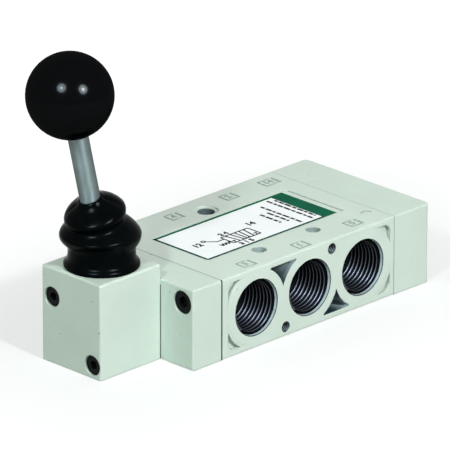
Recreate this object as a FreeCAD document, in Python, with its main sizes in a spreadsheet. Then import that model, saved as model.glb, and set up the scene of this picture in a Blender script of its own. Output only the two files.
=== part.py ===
import FreeCAD, Part
import math
import os
from types import SimpleNamespace

import Sketcher
from FreeCAD import Placement, Rotation, Vector

# A hand-lever operated 5/2 spool valve with threaded G1/2 ports, in millimetres.
# Origin: on the base, below the spool axis and half way along the ported body.
# +X runs along the spool from the lever block to the plain end cap, the three-port face looks to -Y,
# and +Z is up. The lever is drawn in its rest place, leaned away from the valve body.

SIZES = {
    "body_length": 89.4,
    "front_reach": 31.3,
    "back_reach": 32.7,
    "body_height": 31.0,
    "edge_radius": 0.6,
    "adapter_length": 14.6,
    "cap_length": 19.1,
    "cap_corner_radius": 2.2,
    "port_pitch": 27.6,
    "port_shift": 0.6,
    "port_minor_radius": 9.3,
    "port_rim_radius": 10.9,
    "port_rim_depth": 0.7,
    "port_depth": 15.0,
    "passage_radius": 3.7,
    "boss_margin": 1.0,
    "core_margin": 2.3,
    "core_side_margin": 2.7,
    "core_depth": 7.5,
    "corner_depth": 1.8,
    "bore_radius": 9.0,
    "chamber_radius": 11.0,
    "chamber_width": 7.6,
    "front_hole_spacing": 27.9,
    "front_hole_inset": 11.7,
    "front_hole_radius": 2.75,
    "back_hole_inset": 11.2,
    "back_hole_radius": 3.3,
    "back_ring_radius": 4.6,
    "back_ring_depth": 0.6,
    "side_hole_offset": 11.9,
    "side_hole_inset": 3.6,
    "side_hole_radius": 2.1,
    "side_hole_depth": 7.0,
    "label_length": 66.8,
    "label_width": 28.6,
    "label_thickness": 0.25,
    "label_start": 10.3,
    "label_side_shift": 0.4,
    "recess_tail": 3.3,
    "recess_depth": 0.3,
    "recess_margin": 0.15,
    "running_clearance": 0.05,
    "stop_gap": 0.1,
    "land_clearance": 0.08,
    "seal_width": 1.6,
    "seal_depth": 1.4,
    "land_wall": 0.7,
    "end_wall": 0.6,
    "neck_radius": 4.5,
    "stem_radius": 4.0,
    "stem_thread_radius": 3.0,
    "stem_thread_length": 8.0,
    "stem_head_radius": 7.0,
    "stem_head_length": 12.4,
    "stem_slot_floor": 4.3,
    "bush_length": 4.0,
    "bush_radius": 6.0,
    "bush_flange_radius": 7.4,
    "bush_flange_thickness": 1.2,
    "stem_seal_radius": 5.6,
    "stem_seal_width": 1.8,
    "spring_pocket_radius": 7.7,
    "spring_mean_radius": 6.4,
    "spring_wire_radius": 0.55,
    "spring_turns": 6,
    "washer_thickness": 0.8,
    "washer_radius": 7.4,
    "face_seal_radius": 10.3,
    "face_seal_width": 1.8,
    "face_seal_depth": 1.3,
    "bumper_radius": 6.5,
    "bumper_length": 6.0,
    "cap_relief_radius": 5.0,
    "cap_relief_depth": 12.0,
    "end_screw_side_inset": 5.4,
    "end_screw_edge_inset": 5.9,
    "end_screw_radius": 2.5,
    "end_screw_head_radius": 4.3,
    "end_screw_head_height": 5.0,
    "end_screw_sink": 5.6,
    "end_screw_grip": 10.0,
    "end_screw_socket": 2.3,
    "block_length": 29.9,
    "block_front_reach": 14.6,
    "block_back_reach": 15.6,
    "block_height": 36.7,
    "block_edge_radius": 0.8,
    "block_bore_radius": 7.7,
    "block_bore_depth": 27.0,
    "block_slot_length": 16.4,
    "block_slot_width": 8.8,
    "block_screw_offset": 10.3,
    "block_screw_drop": 0.35,
    "block_screw_radius": 2.0,
    "block_screw_head_radius": 3.7,
    "block_screw_head_height": 4.0,
    "block_screw_sink": 4.8,
    "block_screw_grip": 8.0,
    "block_screw_socket": 1.7,
    "screw_clearance": 0.15,
    "screw_socket_depth": 2.4,
    "pivot_rise": 2.7,
    "rest_tilt": 13.1,
    "collar_radius": 9.5,
    "collar_seat_depth": 5.7,
    "collar_height": 13.4,
    "collar_floor": 2.3,
    "collar_hole_radius": 5.6,
    "pin_radius": 2.0,
    "pin_length": 18.0,
    "hub_radius": 5.6,
    "hub_width": 9.0,
    "hub_bush_radius": 3.0,
    "hub_side_gap": 0.1,
    "boss_top": 12.0,
    "rod_boss_radius": 4.2,
    "arm_radius": 3.2,
    "arm_neck_radius": 2.2,
    "arm_neck_length": 4.2,
    "ball_radius": 4.0,
    "rod_radius": 3.8,
    "rod_thread_radius": 3.0,
    "rod_thread_length": 7.5,
    "nut_thickness": 4.5,
    "nut_across_corners": 11.5,
    "knob_radius": 15.9,
    "knob_distance": 67.7,
    "knob_foot_drop": 15.4,
    "insert_radius": 4.8,
    "insert_length": 14.0,
    "insert_inset": 0.8,
    "boot_wall": 1.3,
    "boot_foot_radius": 13.85,
    "boot_neck_radius": 12.25,
    "boot_neck_start": 4.3,
    "boot_neck_end": 7.3,
    "boot_lower_radius": 14.9,
    "boot_lower_rise": 11.9,
    "boot_lower_shift": 0.64,
    "boot_lower_lean": 2.2,
    "boot_crease_radius": 10.3,
    "boot_crease_rise": 17.0,
    "boot_crease_shift": 3.0,
    "boot_crease_lean": 11.5,
    "boot_upper_radius": 11.4,
    "boot_upper_rise": 20.3,
    "boot_upper_shift": 3.3,
    "boot_upper_lean": 16.5,
    "boot_sleeve_radius": 4.9,
    "boot_sleeve_rise": 25.4,
    "boot_top_rise": 27.2,
    "boot_gap": 0.3,
}

X_AXIS = Vector(1, 0, 0)
Y_AXIS = Vector(0, 1, 0)
Z_AXIS = Vector(0, 0, 1)
ALONG_X = Rotation(Y_AXIS, 90)
AGAINST_X = Rotation(Y_AXIS, -90)
ALONG_Y = Rotation(X_AXIS, -90)
ALONG_Z = Rotation()
WIRE_SIDES = 6
TURN_STEPS = 16
RING_SIDES = 36


class Measure:
    """A length known both as a number and as the sheet expression that it comes from."""

    def __init__(self, number, text):
        self.number = number
        self.text = text

    def __neg__(self):
        return Measure(-self.number, f"-({self.text})")

    def __add__(self, other):
        other = measure(other)
        return Measure(self.number + other.number, f"({self.text} + {other.text})")

    def __sub__(self, other):
        other = measure(other)
        return Measure(self.number - other.number, f"({self.text} - {other.text})")

    def __mul__(self, other):
        other = measure(other)
        return Measure(self.number * other.number, f"({self.text} * {other.text})")

    def __truediv__(self, other):
        other = measure(other)
        return Measure(self.number / other.number, f"({self.text} / {other.text})")

    def __radd__(self, other):
        return measure(other) + self

    def __rsub__(self, other):
        return measure(other) - self

    def __rmul__(self, other):
        return measure(other) * self


def measure(value):
    """Turn a bare number into a Measure; a Measure is given back as it is."""
    if isinstance(value, Measure):
        return value
    return Measure(float(value), f"({float(value)})")


def sine(angle):
    return Measure(math.sin(math.radians(angle.number)), f"sin({angle.text} * 1 deg)")


def make_sheet(document):
    """Write the driving sizes into a spreadsheet and give each one back as a Measure."""
    sheet = document.addObject("Spreadsheet::Sheet", "Sizes")
    for row, (alias, number) in enumerate(SIZES.items(), start=1):
        sheet.set(f"A{row}", alias)
        sheet.set(f"B{row}", str(number))
        sheet.setAlias(f"B{row}", alias)
    document.recompute()
    return {alias: Measure(float(sheet.get(alias)), f"Sizes.{alias}") for alias in SIZES}


doc = FreeCAD.newDocument("hand_lever_valve")
S = SimpleNamespace(**make_sheet(doc))
nodes = []


def keep(piece, name):
    """Name a finished sub-part, which is later written to its own file."""
    piece.Label = name
    nodes.append(piece)
    return piece


def bind(item, **values):
    """Bind properties of an object to sheet expressions."""
    for prop, value in values.items():
        item.setExpression(prop, measure(value).text)


def place(item, at=(0, 0, 0), turn=ALONG_Z):
    """Put an object at a bound place with a fixed turn."""
    at = [measure(value) for value in at]
    item.Placement = Placement(Vector(*(value.number for value in at)), turn)
    for axis, value in zip("xyz", at):
        item.setExpression(f"Placement.Base.{axis}", value.text)
    return item


def primitive(kind, name, at=(0, 0, 0), turn=ALONG_Z, **values):
    item = doc.addObject(f"Part::{kind}", name)
    bind(item, **values)
    return place(item, at, turn)


def cylinder(name, radius, height, at=(0, 0, 0), turn=ALONG_Z):
    return primitive("Cylinder", name, at, turn, Radius=radius, Height=height)


def hexagon(name, corner_radius, height, at=(0, 0, 0), turn=ALONG_Z):
    item = primitive("Prism", name, at, turn, Circumradius=corner_radius, Height=height)
    item.Polygon = 6
    return item


def join(name, pieces, kind="MultiFuse"):
    item = doc.addObject(f"Part::{kind}", name)
    if kind == "Compound":
        item.Links = pieces
    else:
        item.Shapes = pieces
    return item


def cut(name, base, tools):
    item = doc.addObject("Part::Cut", name)
    item.Base = base
    item.Tool = tools[0] if len(tools) == 1 else join(f"{name}_tools", tools)
    return item


def ring(name, inner, outer, width, at, turn):
    """A flat-sided ring made of one cylinder cut from another."""
    outside = cylinder(f"{name}_outside", outer, width)
    inside = cylinder(f"{name}_inside", inner, width)
    return place(cut(name, outside, [inside]), at, turn)


def new_body(name):
    body = doc.addObject("PartDesign::Body", f"{name}_body")
    return keep(body, name)


def new_sketch(body, name, role, offset=0):
    """A sketch on one of the body's own origin planes, moved along that plane's normal."""
    sketch = body.newObject("Sketcher::SketchObject", name)
    plane = next(item for item in body.Origin.OriginFeatures if item.Role == role)
    sketch.AttachmentSupport = [(plane, "")]
    sketch.MapMode = "FlatFace"
    sketch.setExpression("AttachmentOffset.Base.z", measure(offset).text)
    return sketch


def add_polygon(sketch, points):
    """Add a closed outline whose corners are all bound to sheet expressions."""
    corners = [(measure(across), measure(up)) for across, up in points]
    first = sketch.GeometryCount
    count = len(corners)
    flat = [Vector(across.number, up.number, 0) for across, up in corners]
    for index in range(count):
        sketch.addGeometry(Part.LineSegment(flat[index], flat[(index + 1) % count]), False)
    for index in range(count):
        follower = first + (index + 1) % count
        sketch.addConstraint(Sketcher.Constraint("Coincident", first + index, 2, follower, 1))
    for index, corner in enumerate(corners):
        for kind, value in zip(("DistanceX", "DistanceY"), corner):
            bind_distance(sketch, kind, first + index, 1, value)


def add_circle(sketch, centre, radius):
    across, up = measure(centre[0]), measure(centre[1])
    radius = measure(radius)
    spot = Vector(across.number, up.number, 0)
    circle = sketch.addGeometry(Part.Circle(spot, Z_AXIS, radius.number), False)
    bind_distance(sketch, "DistanceX", circle, 3, across)
    bind_distance(sketch, "DistanceY", circle, 3, up)
    entry = sketch.addConstraint(Sketcher.Constraint("Radius", circle, radius.number))
    sketch.setExpression(f"Constraints[{entry}]", radius.text)


def bind_distance(sketch, kind, geometry, point, value):
    """Tie a point's distance from the sketch origin to a sheet expression."""
    constraint = Sketcher.Constraint(kind, -1, 1, geometry, point, value.number)
    entry = sketch.addConstraint(constraint)
    sketch.setExpression(f"Constraints[{entry}]", value.text)


def feature(body, kind, name, sketch, **values):
    item = body.newObject(f"PartDesign::{kind}", name)
    item.Profile = sketch
    bind(item, **values)
    return item


def pad(body, name, sketch, length, both_sides=False, backwards=False):
    item = feature(body, "Pad", name, sketch, Length=length)
    item.Midplane = both_sides
    item.Reversed = backwards
    return item


def pocket(body, name, sketch, depth, backwards=False):
    """Cut a sketch into the body and check that material really went."""
    before = settled(body).Volume
    item = feature(body, "Pocket", name, sketch, Length=depth)
    item.Reversed = backwards
    check_smaller(body, item, before)
    return item


def turned(body, name, sketch, cutting=False):
    """Turn a sketch about its own horizontal axis, to add or to cut material."""
    before = settled(body).Volume if cutting else 0
    item = body.newObject("PartDesign::Groove" if cutting else "PartDesign::Revolution", name)
    item.Profile = sketch
    item.ReferenceAxis = (sketch, ["H_Axis"])
    item.Angle = 360
    if cutting:
        check_smaller(body, item, before)
    return item


def row(body, name, original, sketch, length, count):
    """Repeat a feature along the sketch's horizontal axis."""
    before = settled(body).Volume
    item = body.newObject("PartDesign::LinearPattern", name)
    item.Originals = [original]
    item.Direction = (sketch, ["H_Axis"])
    bind(item, Length=length)
    item.Occurrences = count
    body.Tip = item
    if original.TypeId in ("PartDesign::Pocket", "PartDesign::Groove"):
        check_smaller(body, item, before)
    return item


def settled(body):
    doc.recompute()
    return body.Shape


def check_smaller(body, item, before):
    if settled(body).Volume >= before - 1e-6:
        raise RuntimeError(f"{item.Label} cuts nothing")


def round_edges(body, name, radius, wanted):
    """Round the edges of the body's newest feature that the test picks out."""
    base = body.Tip
    shape = settled(body)
    picked = [f"Edge{index}" for index, edge in enumerate(shape.Edges, start=1) if wanted(edge)]
    item = body.newObject("PartDesign::Fillet", name)
    item.Base = (base, picked)
    bind(item, Radius=radius)
    return item


def lies_at(edge, axis, value):
    """True where a whole edge has one coordinate of the given value."""
    return all(abs(getattr(vertex.Point, axis) - value.number) < 1e-4 for vertex in edge.Vertexes)


# Places worked out from the driving sizes

half_length = S.body_length / 2
half_pitch = S.port_pitch / 2
spool_height = S.body_height / 2
floor_level = -spool_height
top_level = S.body_height - spool_height
boss_radius = spool_height - S.boss_margin
pivot_height = S.block_height + S.pivot_rise
adapter_end = -half_length - S.adapter_length
block_end = adapter_end - S.block_length
lever_x = adapter_end - S.block_length / 2
cap_end = half_length + S.cap_length
arm_length = pivot_height - spool_height
half_stroke = arm_length * sine(S.rest_tilt)
land_radius = S.bore_radius - S.land_clearance
seal_radius = S.bore_radius - S.running_clearance
groove_radius = seal_radius - S.seal_depth
land_end = half_length - half_stroke - S.stop_gap
end_seal_place = land_end - S.end_wall - S.seal_width / 2
pair_spread = half_pitch / 2 - half_stroke
stem_hole_radius = S.stem_radius + S.running_clearance
bush_end = adapter_end + S.bush_length
pocket_floor = bush_end - S.bush_flange_thickness
washer_start = half_stroke - land_end - S.washer_thickness
end_screw_places = [
    (S.end_screw_side_inset - S.front_reach, top_level - S.end_screw_edge_inset),
    (S.back_reach - S.end_screw_side_inset, floor_level + S.end_screw_edge_inset),
]
block_screw_places = [
    (S.block_screw_offset, S.block_screw_offset - S.block_screw_drop),
    (-S.block_screw_offset, -S.block_screw_offset - S.block_screw_drop),
]


def reach(side):
    """Distance from the spool axis to the front (-1) or back (+1) face."""
    return S.front_reach if side < 0 else S.back_reach


def rectangle(low_x, high_x, low_y, high_y):
    return [(low_x, low_y), (high_x, low_y), (high_x, high_y), (low_x, high_y)]


def holes(body, name, start, spots, radius, depth, backwards=False):
    """Round holes along the spool's direction, sunk from the plane at the given start."""
    sketch = new_sketch(body, f"{name}_outline", "YZ_Plane", start)
    for across, rise in spots:
        add_circle(sketch, (across, rise), radius)
    return pocket(body, name, sketch, depth, backwards)


# Valve body: bored, ported and cored, drawn about the spool axis

def face_sketch(body, name, side):
    """A sketch on the front (-1) or back (+1) face; its axes run along X and Z."""
    return new_sketch(body, name, "XZ_Plane", reach(side) * -side)


def core_face(body, label, side, outermost, count, deep_cores):
    """Cast lightening cores of a port face, with the round walls of the ports left standing."""
    edge = spool_height - S.core_margin
    if deep_cores:
        deep = face_sketch(body, f"{label}_deep_core_outline", side)
        spread = (S.port_pitch - boss_radius) / 2
        for sign in (-1, 1):
            middle = half_pitch * sign + S.port_shift
            rise = sorted((quarter_reach(-sign), edge * -sign), key=lambda item: item.number)
            add_polygon(deep, rectangle(middle - spread, middle + spread, *rise))
        pocket(body, f"{label}_deep_cores", deep, S.core_depth, backwards=side > 0)
    corners = face_sketch(body, f"{label}_corner_outline", side)
    outer = half_length - S.core_side_margin
    for start, end in ((outermost, outer), (-outer, -outermost)):
        add_polygon(corners, rectangle(start + S.port_shift, end + S.port_shift, -edge, edge))
    pocket(body, f"{label}_corner_cores", corners, S.corner_depth, backwards=side > 0)
    boss = face_sketch(body, f"{label}_boss_outline", side)
    add_circle(boss, (S.port_shift - outermost, 0), boss_radius)
    wall = pad(body, f"{label}_boss", boss, S.core_depth, backwards=side < 0)
    row(body, f"{label}_bosses", wall, boss, outermost * 2, count)


def quarter_reach(sign):
    """Height, off the spool axis, at which a deep core starts between two ports."""
    return half_pitch / 4 * sign


def port_profile(side):
    """Half section of a threaded port: chamfered rim, thread bore, drill point and passage."""
    face = reach(side)
    floor = face - S.port_depth
    point = (S.port_minor_radius - S.passage_radius) / 2
    outline = [
        (face, 0),
        (face, S.port_rim_radius),
        (face - S.port_rim_depth, S.port_minor_radius),
        (floor, S.port_minor_radius),
        (floor - point, S.passage_radius),
        (S.bore_radius - 1, S.passage_radius),
        (S.bore_radius - 1, 0),
    ]
    return [(depth * side, radius) for depth, radius in outline]


def cut_ports(body, label, side, first, count):
    """Sink the ports of the front (-1) or back (+1) face, spaced along the body."""
    sketch = new_sketch(body, f"{label}_port_outline", "YZ_Plane", first + S.port_shift)
    add_polygon(sketch, port_profile(side))
    port = turned(body, f"{label}_port", sketch, cutting=True)
    direction = new_sketch(body, f"{label}_port_direction", "XZ_Plane")
    row(body, f"{label}_ports", port, direction, S.port_pitch * (count - 1), count)


def valve_body():
    body = new_body("valve_body")
    section = new_sketch(body, "body_section", "YZ_Plane")
    add_polygon(section, rectangle(-S.front_reach, S.back_reach, floor_level, top_level))
    pad(body, "body_block", section, S.body_length, both_sides=True)
    length = S.body_length.number
    round_edges(body, "long_edges", S.edge_radius, lambda edge: abs(edge.Length - length) < 1e-4)
    core_face(body, "front", -1, S.port_pitch, 3, True)
    core_face(body, "back", 1, half_pitch, 2, False)
    bore = new_sketch(body, "bore_outline", "XZ_Plane")
    add_polygon(bore, rectangle(-half_length, half_length, 0, S.bore_radius))
    turned(body, "spool_bore", bore, cutting=True)
    chamber = new_sketch(body, "chamber_outline", "XZ_Plane")
    half_chamber = S.chamber_width / 2
    first = S.port_shift - S.port_pitch
    outline = rectangle(first - half_chamber, first + half_chamber, 0, S.chamber_radius)
    add_polygon(chamber, outline)
    groove = turned(body, "chamber", chamber, cutting=True)
    row(body, "chambers", groove, chamber, 2 * S.port_pitch, 5)
    cut_ports(body, "front", -1, -S.port_pitch, 3)
    cut_ports(body, "back", 1, -half_pitch, 2)
    body_fixing_holes(body)
    recess = new_sketch(body, "label_recess_outline", "XY_Plane", top_level)
    start = S.label_start - half_length - S.recess_margin
    end = S.label_start - half_length + S.label_length + S.recess_tail
    spread = S.label_width / 2 + S.recess_margin
    outline = rectangle(start, end, S.label_side_shift - spread, S.label_side_shift + spread)
    add_polygon(recess, outline)
    pocket(body, "label_recess", recess, S.recess_depth)
    place(body, (0, 0, spool_height))


def body_fixing_holes(body):
    """Through holes, the small tapped holes of the front face and the end screws' threads."""
    through = new_sketch(body, "through_hole_outline", "XY_Plane", top_level)
    for sign in (-1, 1):
        spot = (S.front_hole_spacing / 2 * sign, S.front_hole_inset - S.front_reach)
        add_circle(through, spot, S.front_hole_radius)
    back_spot = (0, S.back_reach - S.back_hole_inset)
    add_circle(through, back_spot, S.back_hole_radius)
    pocket(body, "through_holes", through, S.body_height)
    ring_outline = new_sketch(body, "back_hole_ring_outline", "XY_Plane", top_level)
    add_circle(ring_outline, back_spot, S.back_ring_radius)
    pocket(body, "back_hole_ring", ring_outline, S.back_ring_depth)
    small = face_sketch(body, "side_hole_outline", -1)
    low_rise = floor_level + S.side_hole_inset
    high_rise = top_level - S.side_hole_inset
    for across, rise in ((-S.side_hole_offset, low_rise), (S.side_hole_offset, high_rise)):
        add_circle(small, (across, rise), S.side_hole_radius)
    pocket(body, "side_holes", small, S.side_hole_depth)
    for name, start, backwards in (("adapter", -half_length, True), ("cap", half_length, False)):
        threads = f"{name}_screw_threads"
        holes(body, threads, start, end_screw_places, S.end_screw_radius, S.end_screw_grip, backwards)


# End pieces: adapter plate, plain cap and lever block

def end_block(name, start, length, front, back, high_level):
    """A body drawn about the spool axis whose plain block starts at the given place."""
    body = new_body(name)
    section = new_sketch(body, f"{name}_section", "YZ_Plane", start)
    add_polygon(section, rectangle(-front, back, floor_level, high_level))
    pad(body, f"{name}_block", section, length)
    return body


def face_seal_groove(body, name, start, end):
    groove = new_sketch(body, f"{name}_outline", "XZ_Plane")
    outer = S.face_seal_radius + S.face_seal_width
    add_polygon(groove, rectangle(start, end, S.face_seal_radius, outer))
    turned(body, name, groove, cutting=True)


def adapter_plate():
    front, back = S.front_reach, S.back_reach
    body = end_block("adapter_plate", adapter_end, S.adapter_length, front, back, top_level)
    round_edges(
        body,
        "outer_edges",
        S.edge_radius,
        lambda edge: lies_at(edge, "x", adapter_end) or not lies_at(edge, "x", -half_length)
        and not lies_at(edge, "z", floor_level),
    )
    bore = new_sketch(body, "spring_pocket_outline", "XZ_Plane")
    outline = [
        (adapter_end, 0),
        (-half_length, 0),
        (-half_length, S.spring_pocket_radius),
        (pocket_floor, S.spring_pocket_radius),
        (pocket_floor, S.bush_radius),
        (adapter_end, S.bush_radius),
    ]
    add_polygon(bore, outline)
    turned(body, "spring_pocket", bore, cutting=True)
    face_seal_groove(body, "adapter_seal_groove", -half_length - S.face_seal_depth, -half_length)
    clear = S.end_screw_radius + S.screw_clearance
    sink = S.end_screw_head_radius + S.screw_clearance
    holes(body, "screw_holes", adapter_end, end_screw_places, clear, S.adapter_length, True)
    holes(body, "screw_sinks", adapter_end, end_screw_places, sink, S.end_screw_sink, True)
    radius, grip = S.block_screw_radius, S.block_screw_grip
    holes(body, "block_screw_threads", adapter_end, block_screw_places, radius, grip, True)
    place(body, (0, 0, spool_height))


def end_cap():
    front, back = S.front_reach, S.back_reach
    body = end_block("end_cap", half_length, S.cap_length, front, back, top_level)
    round_edges(
        body,
        "corner_edges",
        S.cap_corner_radius,
        lambda edge: lies_at(edge, "x", cap_end) and abs(edge.Length - S.body_height.number) < 1e-4,
    )
    round_edges(
        body,
        "top_edges",
        S.edge_radius,
        lambda edge: lies_at(edge, "z", top_level) and not lies_at(edge, "x", half_length),
    )
    bore = new_sketch(body, "bumper_pocket_outline", "XZ_Plane")
    bumper_floor = half_length + S.bumper_length
    relief_floor = half_length + S.cap_relief_depth
    outline = [
        (half_length, 0),
        (relief_floor, 0),
        (relief_floor, S.cap_relief_radius),
        (bumper_floor, S.cap_relief_radius),
        (bumper_floor, S.bumper_radius),
        (half_length, S.bumper_radius),
    ]
    add_polygon(bore, outline)
    turned(body, "bumper_pocket", bore, cutting=True)
    face_seal_groove(body, "cap_seal_groove", half_length, half_length + S.face_seal_depth)
    clear = S.end_screw_radius + S.screw_clearance
    sink = S.end_screw_head_radius + S.screw_clearance
    holes(body, "screw_holes", cap_end, end_screw_places, clear, S.cap_length)
    holes(body, "screw_sinks", cap_end, end_screw_places, sink, S.end_screw_sink)
    place(body, (0, 0, spool_height))


def lever_block():
    high = S.block_height - spool_height
    front, back = S.block_front_reach, S.block_back_reach
    body = end_block("lever_block", block_end, S.block_length, front, back, high)
    round_edges(
        body,
        "outer_edges",
        S.block_edge_radius,
        lambda edge: not lies_at(edge, "x", adapter_end) and not lies_at(edge, "z", floor_level),
    )
    bore = new_sketch(body, "stem_bore_outline", "XZ_Plane")
    bore_start = adapter_end - S.block_bore_depth
    add_polygon(bore, rectangle(bore_start, adapter_end, 0, S.block_bore_radius))
    turned(body, "stem_bore", bore, cutting=True)
    slot = new_sketch(body, "arm_slot_outline", "XY_Plane", high)
    half_slot = S.block_slot_length / 2
    side = S.block_slot_width / 2
    add_polygon(slot, rectangle(lever_x - half_slot, lever_x + half_slot, -side, side))
    pocket(body, "arm_slot", slot, high)
    seat = new_sketch(body, "collar_seat_outline", "XY_Plane", high)
    add_circle(seat, (lever_x, 0), S.collar_radius)
    pocket(body, "collar_seat", seat, S.collar_seat_depth)
    clear = S.block_screw_radius + S.screw_clearance
    sink = S.block_screw_head_radius + S.screw_clearance
    holes(body, "screw_holes", block_end, block_screw_places, clear, S.block_length, True)
    holes(body, "screw_sinks", block_end, block_screw_places, sink, S.block_screw_sink, True)
    place(body, (0, 0, spool_height))


# Spool train

def turned_piece(name, outline, at, turn=ALONG_Z):
    """A piece turned about its own X axis from a half section."""
    body = new_body(name)
    section = new_sketch(body, f"{name}_outline", "XZ_Plane")
    add_polygon(section, outline)
    turned(body, f"{name}_turning", section)
    place(body, at, turn)
    return body


def seal_places():
    """Middles of the four land seals, then of the two end seals, with the spool at mid travel."""
    lands = []
    for sign in (-1, 1):
        for spread in (-pair_spread, pair_spread):
            lands.append(half_pitch * sign + S.port_shift + spread)
    return lands, [-end_seal_place, end_seal_place]


def spool():
    """Turned spool: two grooved control lands, two end lands and thin necks between them."""
    land_seals, end_seals = seal_places()
    grooves = sorted(land_seals + end_seals, key=lambda item: item.number)
    half_groove = S.seal_width / 2
    land_half = pair_spread + half_groove + S.land_wall
    end_inner = end_seal_place - half_groove - S.land_wall
    lands = [
        (-land_end, -end_inner),
        (S.port_shift - half_pitch - land_half, S.port_shift - half_pitch + land_half),
        (S.port_shift + half_pitch - land_half, S.port_shift + half_pitch + land_half),
        (end_inner, land_end),
    ]
    tang_end = S.stem_thread_length - land_end
    outline = [(tang_end, 0), (tang_end, S.stem_thread_radius), (-land_end, S.stem_thread_radius)]
    for index, (start, end) in enumerate(lands):
        outline.append((start, S.neck_radius if index else land_radius))
        if index:
            outline.append((start, land_radius))
        for middle in grooves:
            if start.number < middle.number < end.number:
                outline.append((middle - half_groove, land_radius))
                outline.append((middle - half_groove, groove_radius))
                outline.append((middle + half_groove, groove_radius))
                outline.append((middle + half_groove, land_radius))
        outline.append((end, land_radius))
        outline.append((end, S.neck_radius if index < len(lands) - 1 else 0))
    turned_piece("spool", outline, (half_stroke, 0, spool_height))


def seal_rings(name, middles):
    rings = []
    for index, middle in enumerate(middles, start=1):
        start = middle - S.seal_width / 2 + half_stroke
        spot = (start, 0, spool_height)
        seal = ring(f"{name}_{index}", groove_radius, seal_radius, S.seal_width, spot, ALONG_X)
        rings.append(seal)
    keep(join(f"{name}_set", rings, "Compound"), name)


def spool_stem():
    """Stem with a slotted head that takes the ball of the lever's lower arm."""
    head_start = lever_x - S.stem_head_length / 2
    head_end = lever_x + S.stem_head_length / 2
    outline = [
        (head_start, 0),
        (head_start, S.stem_head_radius),
        (head_end, S.stem_head_radius),
        (head_end, S.stem_radius),
        (-land_end, S.stem_radius),
        (-land_end, S.stem_thread_radius),
        (S.stem_thread_length - land_end, S.stem_thread_radius),
        (S.stem_thread_length - land_end, 0),
    ]
    body = turned_piece("spool_stem", outline, (half_stroke, 0, spool_height))
    slot = new_sketch(body, "ball_slot_outline", "XY_Plane", S.stem_head_radius)
    reach = S.ball_radius + S.running_clearance
    side = S.stem_head_radius
    add_polygon(slot, rectangle(lever_x - reach, lever_x + reach, -side, side))
    pocket(body, "ball_slot", slot, S.stem_head_radius + S.stem_slot_floor)


def stem_guide():
    """Bush that carries the stem in the adapter, with the stem's seal in its inner end."""
    length = S.bush_length
    flange = length - S.bush_flange_thickness
    seal_start = length - S.stem_seal_width
    outline = [
        (0, stem_hole_radius),
        (0, S.bush_radius),
        (flange, S.bush_radius),
        (flange, S.bush_flange_radius),
        (length, S.bush_flange_radius),
        (length, S.stem_seal_radius),
        (seal_start, S.stem_seal_radius),
        (seal_start, stem_hole_radius),
    ]
    turned_piece("stem_bush", outline, (adapter_end, 0, spool_height))
    spot = (bush_end - S.stem_seal_width, 0, spool_height)
    width = S.stem_seal_width
    seal = ring("stem_seal_ring", stem_hole_radius, S.stem_seal_radius, width, spot, ALONG_X)
    keep(seal, "stem_seal")


def spring_section(turn, pitch):
    """Hexagonal section of the spring wire, square to the coil, after the given number of turns."""
    mean, wire = S.spring_mean_radius.number, S.spring_wire_radius.number
    angle = 2 * math.pi * turn
    outward = Vector(0, math.cos(angle), math.sin(angle))
    around = Vector(0, -math.sin(angle), math.cos(angle))
    heading = (around * (2 * math.pi * mean) + X_AXIS * pitch).normalize()
    sideways = heading.cross(outward)
    centre = outward * mean + X_AXIS * (pitch * turn)
    corners = []
    for index in range(WIRE_SIDES + 1):
        bearing = 2 * math.pi * index / WIRE_SIDES
        offset = outward * math.cos(bearing) + sideways * math.sin(bearing)
        corners.append(centre + offset * wire)
    return Part.makePolygon(corners)


def return_spring():
    """Coil spring between the stem bush and the spring washer, at its length in the rest place."""
    wire = S.spring_wire_radius.number
    turns = round(S.spring_turns.number)
    pitch = (washer_start.number - bush_end.number - 2 * wire) / turns
    steps = range(turns * TURN_STEPS + 1)
    sections = [spring_section(step / TURN_STEPS, pitch) for step in steps]
    item = doc.addObject("Part::Feature", "spring_coil")
    item.Shape = Part.makeLoft(sections, True, True)
    item.Placement = Placement(Vector(bush_end.number + wire, 0, spool_height.number), ALONG_Z)
    keep(item, "return_spring")


def spool_train():
    spool()
    land_seals, end_seals = seal_places()
    seal_rings("land_seals", land_seals)
    seal_rings("end_seals", end_seals)
    spool_stem()
    stem_guide()
    return_spring()
    spot = (washer_start, 0, spool_height)
    washer = ring("washer", stem_hole_radius, S.washer_radius, S.washer_thickness, spot, ALONG_X)
    keep(washer, "spring_washer")


# Seals, bumper, label and screws

def small_parts():
    outer = S.face_seal_radius + S.face_seal_width
    for name, start in (("adapter", -half_length - S.face_seal_depth), ("cap", half_length)):
        spot = (start, 0, spool_height)
        seal = ring(f"{name}_ring", S.face_seal_radius, outer, S.face_seal_depth, spot, ALONG_X)
        keep(seal, f"{name}_seal")
    spot = (half_length, 0, spool_height)
    keep(cylinder("bumper", S.bumper_radius, S.bumper_length, spot, ALONG_X), "end_bumper")
    corner = (
        S.label_start - half_length,
        S.label_side_shift - S.label_width / 2,
        S.body_height - S.recess_depth,
    )
    label = primitive(
        "Box",
        "label",
        corner,
        Length=S.label_length,
        Width=S.label_width,
        Height=S.label_thickness,
    )
    keep(label, "label_plate")


def screw(name, head_radius, head_height, shank_radius, shank_length, socket_radius):
    """Socket-head screw: the head's underside is at its origin and the shank runs up Z."""
    head = cylinder(f"{name}_head", head_radius, head_height, (0, 0, -head_height))
    shank = cylinder(f"{name}_shank", shank_radius, shank_length)
    spot = (0, 0, -head_height)
    socket = hexagon(f"{name}_socket", socket_radius, S.screw_socket_depth, spot)
    return cut(f"{name}_cut", join(f"{name}_blank", [head, shank]), [socket])


def screw_set(name, spots, start, turn, head, shank, socket_radius):
    screws = []
    for index, (across, rise) in enumerate(spots, start=1):
        item = screw(f"{name}_{index}", *head, *shank, socket_radius)
        screws.append(place(item, (start, across, spool_height + rise), turn))
    keep(join(f"{name}_set", screws, "Compound"), name)


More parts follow.
